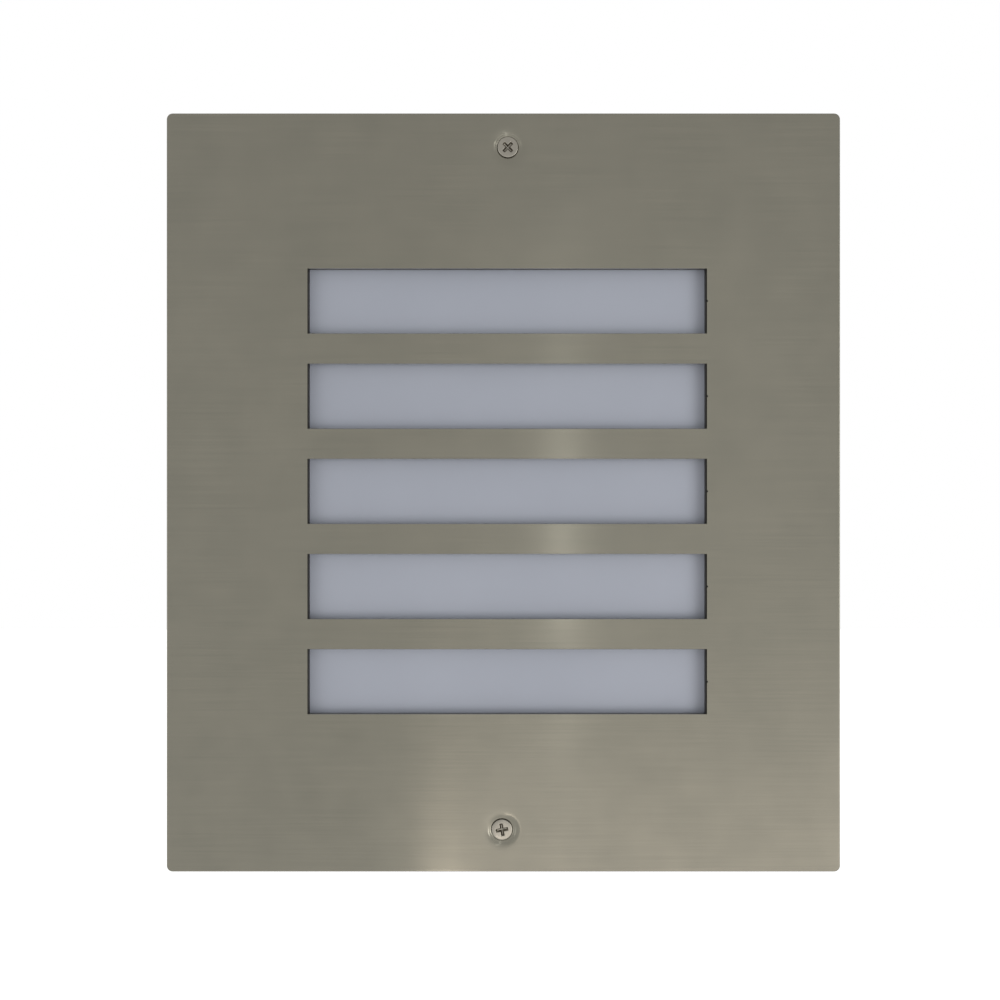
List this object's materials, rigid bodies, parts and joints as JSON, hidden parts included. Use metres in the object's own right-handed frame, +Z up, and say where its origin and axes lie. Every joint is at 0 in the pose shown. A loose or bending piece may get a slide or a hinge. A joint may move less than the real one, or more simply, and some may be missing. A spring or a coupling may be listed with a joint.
{
  "type": "step light",
  "caption": "Recessed step light: slotted brushed-steel face plate over frosted glass, on a cast wall box with a screw-in lamp, lampholder, terminal block and cable gland.",
  "frame": {"origin": "centre of the face plate on the wall plane, where the housing flange's back face lies", "axes": "+Y into the wall, +Z up, +X to the right as seen from the room; the plate faces -Y"},
  "size_m": [0.23, 0.1183, 0.259],
  "materials": {
    "brushed_stainless": "horizontal brushed grain, satin",
    "stainless_fastener": "turned stainless steel, bright",
    "spring_steel": "cold-rolled spring steel",
    "black_rubber": "closed-cell rubber, matte",
    "grey_silicone": "silicone pad, satin",
    "natural_nylon": "moulded nylon",
    "frosted_glass": "acid-frosted glass",
    "cast_aluminium": "die-cast, shot-blasted",
    "brass": "turned brass",
    "white_enamel": "white stove enamel, gloss",
    "zinc_plated_steel": "bright zinc plate",
    "glazed_ceramic": "glazed porcelain",
    "nickel_plate": "nickel-plated brass",
    "phosphor_bronze": "sprung bronze strip",
    "soft_solder": "tin solder",
    "black_glass": "black insulating glass",
    "white_thermoplastic": "moulded, fine matt",
    "opal_cover": "opal polycarbonate",
    "white_board": "aluminium board, white mask",
    "led_phosphor": "yellow phosphor",
    "white_polyamide": "moulded polyamide",
    "tinned_copper": "tin-plated copper",
    "brown_insulation": "soft insulation",
    "blue_insulation": "soft insulation",
    "green_yellow_insulation": "soft insulation, two colours",
    "black_polyamide": "moulded polyamide, fine texture"
  },
  "bodies": {
    "housing": {"housing": "cast_aluminium", "rim_gasket": "black_rubber", "screw_inserts": "brass", "reflector": "white_enamel", "reflector_screws": "zinc_plated_steel", "lampholder_bracket": "zinc_plated_steel", "bracket_screws": "zinc_plated_steel", "lampholder_body": "glazed_ceramic", "holder_screws": "zinc_plated_steel", "lampholder_shell": "nickel_plate", "lampholder_contact": "phosphor_bronze", "lampholder_terminals": "brass", "terminal_block": "white_polyamide", "terminal_tubes": "brass", "clamp_screws": "zinc_plated_steel", "terminal_block_screws": "zinc_plated_steel", "earth_ring": "tinned_copper", "earth_screw": "zinc_plated_steel", "lead_live": "brown_insulation", "lead_neutral": "blue_insulation", "lead_earth": "green_yellow_insulation", "gland_body": "black_polyamide", "gland_washer": "black_rubber", "gland_locknut": "black_polyamide", "gland_seal": "black_rubber"},
    "face": {"face_plate": "brushed_stainless", "weld_studs": "stainless_fastener", "diffuser_gasket": "black_rubber", "diffuser_glass": "frosted_glass", "glass_clips": "spring_steel", "clip_pads": "grey_silicone", "clip_washers": "stainless_fastener", "clip_nuts": "stainless_fastener"},
    "top_screw_washer": {"top_screw_washer": "natural_nylon"},
    "top_screw": {"top_screw": "stainless_fastener"},
    "bottom_screw_washer": {"bottom_screw_washer": "natural_nylon"},
    "bottom_screw": {"bottom_screw": "stainless_fastener"},
    "lamp_tip": {"lamp_tip": "soft_solder"},
    "lamp": {"lamp_insulator": "black_glass", "lamp_cap": "nickel_plate", "lamp_body": "white_thermoplastic", "lamp_globe": "opal_cover", "lamp_led_board": "white_board", "lamp_leds": "led_phosphor"},
    "gland_slip_ring": {"gland_slip_ring": "black_polyamide"},
    "gland_dome_nut": {"gland_dome_nut": "black_polyamide"}
  },
  "joints": [
    {"name": "face_lift_off", "type": "slide", "parent": "housing", "child": "face", "axis": [0, -1, 0], "range_m": [0, 0.06]},
    {"name": "top_screw_draw", "type": "slide", "parent": "face", "child": "top_screw_washer", "axis": [0, -1, 0], "range_m": [0, 0.0099]},
    {"name": "top_screw_turn", "type": "hinge", "parent": "top_screw_washer", "child": "top_screw", "pos_m": [0.0015, -0.0055, 0.118], "axis": [0, -1, 0], "range_deg": [0, 5941]},
    {"name": "bottom_screw_draw", "type": "slide", "parent": "face", "child": "bottom_screw_washer", "axis": [0, -1, 0], "range_m": [0, 0.0099]},
    {"name": "bottom_screw_turn", "type": "hinge", "parent": "bottom_screw_washer", "child": "bottom_screw", "pos_m": [-0.0005, -0.0055, -0.1152], "axis": [0, -1, 0], "range_deg": [0, 5941]},
    {"name": "lamp_draw", "type": "slide", "parent": "housing", "child": "lamp_tip", "axis": [0, 0, 1], "range_m": [0, 0.0254]},
    {"name": "lamp_turn", "type": "hinge", "parent": "lamp_tip", "child": "lamp", "pos_m": [0, 0.046, -0.008], "axis": [0, 0, 1], "range_deg": [0, 2521]},
    {"name": "gland_nut_draw", "type": "slide", "parent": "housing", "child": "gland_slip_ring", "axis": [0, 1, 0], "range_m": [0, 0.00675]},
    {"name": "gland_nut_turn", "type": "hinge", "parent": "gland_slip_ring", "child": "gland_dome_nut", "pos_m": [-0.058, 0.105, -0.088], "axis": [0, 1, 0], "range_deg": [0, 1621]}
  ],
  "couplings": [
    {"joint": "top_screw_turn", "follows": "top_screw_draw", "rad_per_m": 10472},
    {"joint": "bottom_screw_turn", "follows": "bottom_screw_draw", "rad_per_m": 10472},
    {"joint": "lamp_turn", "follows": "lamp_draw", "rad_per_m": 1731.4},
    {"joint": "gland_nut_turn", "follows": "gland_nut_draw", "rad_per_m": 4188.8}
  ]
}
